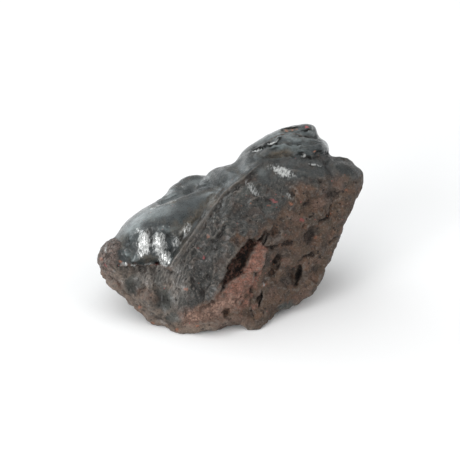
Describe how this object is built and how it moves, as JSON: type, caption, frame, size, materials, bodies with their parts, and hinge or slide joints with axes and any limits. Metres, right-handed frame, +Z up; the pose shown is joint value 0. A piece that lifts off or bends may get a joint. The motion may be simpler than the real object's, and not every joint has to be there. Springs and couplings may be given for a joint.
{
  "type": "hematite specimen",
  "caption": "Hand specimen of kidney hematite: a smooth lobed blue-grey crust over a broken, pitted, reddish brown face, on a flat foot.",
  "frame": {"origin": "centre of the bounding box's bottom, in the plane of the flat foot", "axes": "+Z up out of the foot; +X along the stone's length, from the rough knob towards the high blunt end; the broken pitted face looks towards -Y and the lobed crust covers the top and the +Y side"},
  "size_m": [0.0705, 0.0495, 0.0411],
  "materials": {
    "hematite": "satin crust, matte broken face"
  },
  "bodies": {
    "root": {"hematite": "hematite"}
  },
  "joints": []
}
